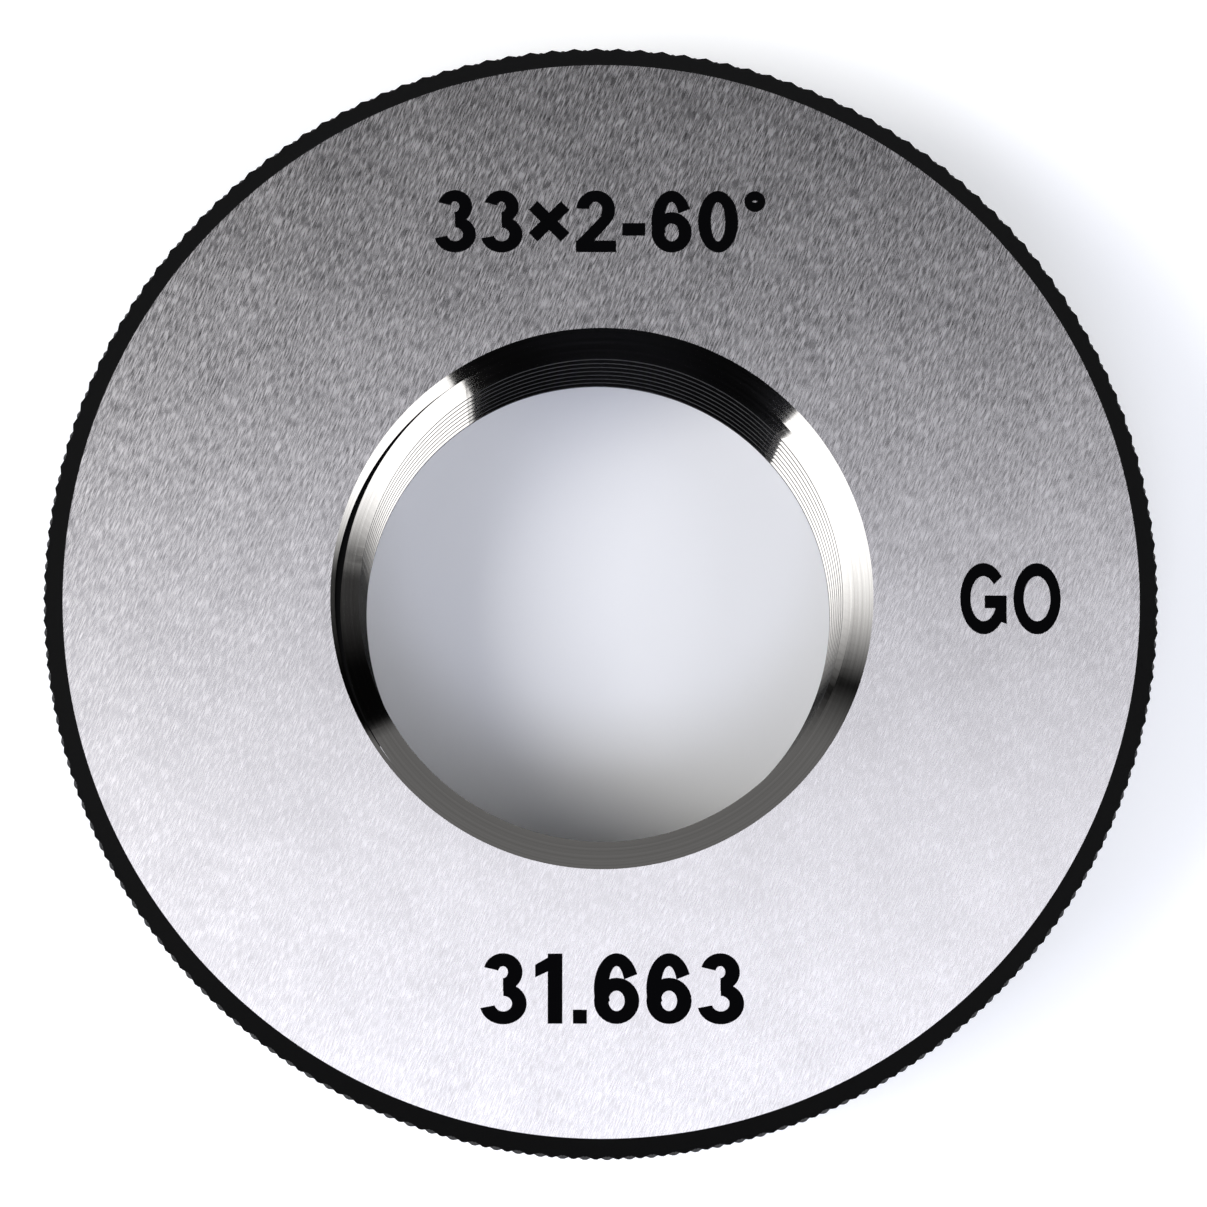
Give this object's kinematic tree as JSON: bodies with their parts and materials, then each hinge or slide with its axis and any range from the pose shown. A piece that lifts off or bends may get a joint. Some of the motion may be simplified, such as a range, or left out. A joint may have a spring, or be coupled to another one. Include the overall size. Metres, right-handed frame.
{
  "type": "thread ring gauge",
  "caption": "Solid GO thread ring gauge: a flat hardened ring with a threaded bore, chamfered mouths and a diamond-knurled rim.",
  "frame": {"origin": "middle of the back face, on the bore's axis", "axes": "+Z along the bore, out of the marked front face; +X towards the word at the right of that face, +Y towards the thread size at its top"},
  "size_m": [0.071, 0.071, 0.018],
  "materials": {
    "gauge_ring": "fine-ground faces, blackened knurled rim"
  },
  "bodies": {
    "root": {"gauge_ring": "gauge_ring"}
  },
  "joints": []
}
